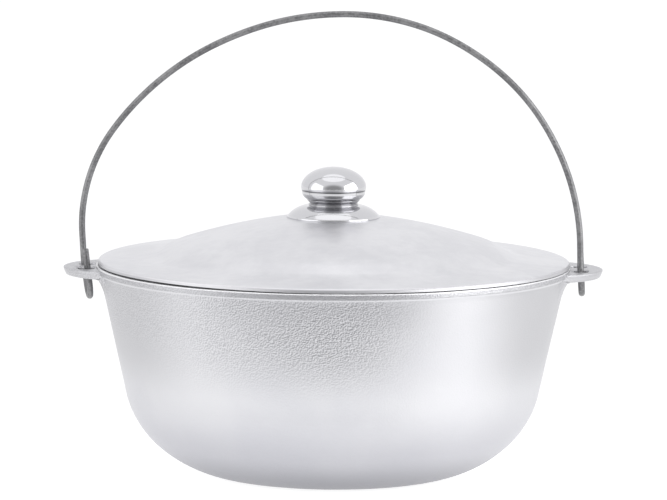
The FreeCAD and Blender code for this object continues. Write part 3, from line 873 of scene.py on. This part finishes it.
def cast_lid_material():
    """Buffed cast aluminium, faintly mottled, with a darker edge."""
    n = Nodes("cast_lid")
    n.shader.inputs["Metallic"].default_value = 1.0
    cloudy = n.noise(20.0, 4.0, 0.6)
    n.link(n.bump(n.noise(700.0, 2.0), 0.10, 0.0003), n.shader.inputs["Normal"])
    n.link(n.ramp(cloudy, 0.3, 0.7, 0.36, 0.46), n.shader.inputs["Roughness"])
    marks = n.math("ADD", n.product(cloudy, 0.8), n.product(n.noise(130.0, 3.0, 0.6), 0.35))
    colour = n.mix(n.ramp(marks, 0.40, 0.75, 0.0, 1.0), LID_DARK, LID_PALE)
    edge = n.ramp(n.axis("Z"), *LID_EDGE_HEIGHTS, 0.7, 0.0)
    n.link(n.mix(edge, colour, LID_EDGE_COLOUR), n.shader.inputs["Base Color"])
    return n.material


NECK_LOW = DISH_TOP * MM
NECK_TOP = NECK_LOW + 0.0072
STEEL_DARK, STEEL_PALE = (0.61, 0.61, 0.63), (0.66, 0.66, 0.675)
# painted shade in the knob's turned neck
NECK_SHADE_COLOUR = (0.30, 0.30, 0.315)
SEAM_COLOUR = (0.20, 0.20, 0.21)


def polished_material():
    """Polished stainless steel, with painted shade in the turned neck, and darker along the seam."""
    n = Nodes("polished_steel")
    n.shader.inputs["Metallic"].default_value = 1.0
    n.link(n.ramp(n.noise(160.0, 3.0), 0.35, 0.7, 0.06, 0.12), n.shader.inputs["Roughness"])
    steel = n.mix(n.noise(30.0, 2.0), STEEL_DARK, STEEL_PALE)
    height = n.axis("Z")
    neck = n.product(
        n.ramp(height, NECK_LOW, NECK_LOW + 0.0008, 0.0, 1.0),
        n.ramp(height, NECK_TOP - 0.0040, NECK_TOP + 0.0010, 1.0, 0.0),
    )
    seam = n.ramp(n.from_plane(height, SEAM * MM), 0.0002, 0.0010, 0.75, 0.0)
    # painted shade in the knob's turned neck
    steel = n.mix(n.product(neck, 0.85), steel, NECK_SHADE_COLOUR)
    n.link(n.mix(seam, steel, SEAM_COLOUR), n.shader.inputs["Base Color"])
    turned_lines = n.noise(220.0, 2.0, 0.5, (1.0, 1.0, 6.0))
    n.link(n.bump(turned_lines, 0.05, 0.0002), n.shader.inputs["Normal"])
    return n.material


WIRE_DARK, WIRE_PALE = (0.17, 0.17, 0.175), (0.31, 0.31, 0.315)


def wire_material():
    """Galvanised wire, dull with fine mottling."""
    n = Nodes("galvanised_wire")
    n.shader.inputs["Metallic"].default_value = 0.85
    blotch = n.noise(620.0, 3.0, 0.6)
    marks = n.math("ADD", n.product(blotch, 0.6), n.product(n.noise(70.0, 2.0), 0.4))
    colour = n.mix(n.ramp(marks, 0.36, 0.64, 0.0, 1.0), WIRE_DARK, WIRE_PALE)
    n.link(colour, n.shader.inputs["Base Color"])
    n.link(n.ramp(blotch, 0.3, 0.7, 0.36, 0.55), n.shader.inputs["Roughness"])
    n.link(n.bump(blotch, 0.35, 0.0002), n.shader.inputs["Normal"])
    return n.material


ZINC_DARK, ZINC_PALE = (0.52, 0.52, 0.50), (0.68, 0.67, 0.62)


def zinc_material():
    """Zinc-plated steel, for the fasteners under the lid and inside the knob."""
    n = Nodes("zinc_steel")
    n.shader.inputs["Metallic"].default_value = 1.0
    blotch = n.noise(400.0, 2.0)
    n.link(n.mix(blotch, ZINC_DARK, ZINC_PALE), n.shader.inputs["Base Color"])
    n.link(n.ramp(blotch, 0.3, 0.7, 0.28, 0.42), n.shader.inputs["Roughness"])
    return n.material


# Studio, in metres

FLOOR_HALF = 12.0
FLOOR_DROP = 0.0002
FLOOR_GLOW = 0.52
FLOOR_GREY, FLOOR_PALE = (0.30, 0.30, 0.30), (0.50, 0.50, 0.50)
FALL_OFF_CENTRE = 2.6    # the floor is unlit round a place this far in front of the pot
FALL_OFF = (1.2, 1.9)    # distances from that place over which it comes up to full light
UNDER_POT = (0.09, 0.36)
UNDER_POT_GLOW = 0.35


def make_floor():
    """A pale table that gives off light, strongest under the pot, and is grey towards the photographer."""
    mesh = bpy.data.meshes.new("floor")
    corners = [(-1, -1, 0), (1, -1, 0), (1, 1, 0), (-1, 1, 0)]
    mesh.from_pydata([Vector(corner) * FLOOR_HALF for corner in corners], [], [(0, 1, 2, 3)])
    floor = bpy.data.objects.new("floor", mesh)
    floor.location.z = -FLOOR_DROP
    bpy.context.scene.collection.objects.link(floor)
    n = Nodes("floor")
    n.shader.inputs["Roughness"].default_value = 0.9
    n.shader.inputs["Specular IOR Level"].default_value = 0.1
    n.shader.inputs["Emission Color"].default_value = (1.0, 1.0, 1.0, 1.0)
    x, y = n.axis("X"), n.axis("Y")
    along_x = n.product(x, x)
    forward = n.math("ADD", y, FALL_OFF_CENTRE)
    from_front = n.math("SQRT", n.math("ADD", along_x, n.product(forward, forward)), 0.0)
    from_pot = n.math("SQRT", n.math("ADD", along_x, n.product(y, y)), 0.0)
    lit = n.ramp(from_front, *FALL_OFF, 0.0, 1.0)
    under_pot = n.ramp(from_pot, *UNDER_POT, UNDER_POT_GLOW, 0.0)
    n.link(n.math("ADD", n.product(lit, FLOOR_GLOW), under_pot), n.shader.inputs["Emission Strength"])
    n.link(n.mix(lit, FLOOR_GREY, FLOOR_PALE), n.shader.inputs["Base Color"])
    mesh.materials.append(n.material)


PANEL_HEIGHT = 1.0
PANEL_UP = 0.52
LEFT_PANEL = (-1.0, -0.68, PANEL_UP)
LEFT_WIDTH, LEFT_RADIANCE = 1.2, 0.75
RIGHT_PANEL = (1.0, -0.58, PANEL_UP)
RIGHT_WIDTH, RIGHT_RADIANCE = 1.3, 1.7


def make_panel(name, place, width, radiance):
    """A soft upright panel of even radiance, which faces the plane through the pot's middle."""
    data = bpy.data.lights.new(name, "AREA")
    data.shape = "RECTANGLE"
    data.size = width
    data.size_y = PANEL_HEIGHT
    data.energy = radiance * math.pi * width * PANEL_HEIGHT
    light = bpy.data.objects.new(name, data)
    bpy.context.scene.collection.objects.link(light)
    light.location = place
    light.rotation_mode = "QUATERNION"
    light.rotation_quaternion = Vector((-place[0], 0.0, 0.0)).to_track_quat("-Z", "Y")


SKY_STRENGTH = 0.22
SKY_ANGLE = math.radians(50.0)


def make_sky_light():
    """Even light from above, which keeps the floor pale out to its edges."""
    data = bpy.data.lights.new("above", "SUN")
    data.energy = SKY_STRENGTH
    data.angle = SKY_ANGLE
    light = bpy.data.objects.new("above", data)
    bpy.context.scene.collection.objects.link(light)


STUDIO_TINT = (0.985, 0.985, 1.0)
PHOTOGRAPHER = Vector((0.0, -1.0, 0.12)).normalized()
WORLD_BRIGHT = 1.0
WORLD_DARK = 0.38
WORLD_EDGE = (0.72, 0.96)    # cosines of the angle from the photographer over which the world darkens


def make_world():
    """A white studio that is darker on the photographer's side."""
    world = bpy.data.worlds.new("studio")
    bpy.context.scene.world = world
    world.use_nodes = True
    tree = world.node_tree
    background = tree.nodes["Background"]
    coords = tree.nodes.new("ShaderNodeTexCoord")
    front = tree.nodes.new("ShaderNodeVectorMath")
    front.operation = "DOT_PRODUCT"
    front.inputs[1].default_value = PHOTOGRAPHER
    tree.links.new(coords.outputs["Generated"], front.inputs[0])
    dimmed = tree.nodes.new("ShaderNodeMapRange")
    dimmed.interpolation_type = "SMOOTHSTEP"
    values = (*WORLD_EDGE, WORLD_BRIGHT, WORLD_DARK)
    for name, value in zip(("From Min", "From Max", "To Min", "To Max"), values):
        dimmed.inputs[name].default_value = value
    tree.links.new(front.outputs["Value"], dimmed.inputs["Value"])
    tree.links.new(dimmed.outputs["Result"], background.inputs["Strength"])
    background.inputs["Color"].default_value = (*STUDIO_TINT, 1.0)


CAMERA_ELEVATION = math.radians(6.8)
CAMERA_ROLL = math.radians(0.38)
CAMERA_DISTANCE = 4.0
CAMERA_LENS = 342.2
CAMERA_SENSOR = 36.0
AIM_RIGHT = 0.0002
AIM_ABOVE_RIM = 0.0094


def make_camera():
    forward = Vector((0, math.cos(CAMERA_ELEVATION), -math.sin(CAMERA_ELEVATION)))
    up = Vector((0, math.sin(CAMERA_ELEVATION), math.cos(CAMERA_ELEVATION)))
    aim = Vector((AIM_RIGHT, 0, RIM * MM)) + up * AIM_ABOVE_RIM
    data = bpy.data.cameras.new("camera")
    data.sensor_width = CAMERA_SENSOR
    data.lens = CAMERA_LENS
    camera = bpy.data.objects.new("camera", data)
    bpy.context.scene.collection.objects.link(camera)
    camera.location = aim - forward * CAMERA_DISTANCE
    camera.rotation_mode = "QUATERNION"
    camera.rotation_quaternion = Quaternion(forward, -CAMERA_ROLL) @ forward.to_track_quat("-Z", "Y")
    bpy.context.scene.camera = camera


polished = polished_material()
zinc = zinc_material()
make_pot(cast_pot_material())
make_lid(cast_lid_material())
make_knob(polished)
make_bail(wire_material())
for name in ("knob_insert", "lid_screw", "lid_washer", "spring_washer"):
    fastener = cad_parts[name]
    fastener.data.materials.clear()
    fastener.data.materials.append(zinc)

make_floor()
make_world()
make_sky_light()
make_panel("left_panel", LEFT_PANEL, LEFT_WIDTH, LEFT_RADIANCE)
make_panel("right_panel", RIGHT_PANEL, RIGHT_WIDTH, RIGHT_RADIANCE)
make_camera()
bpy.context.scene.view_settings.view_transform = "Standard"
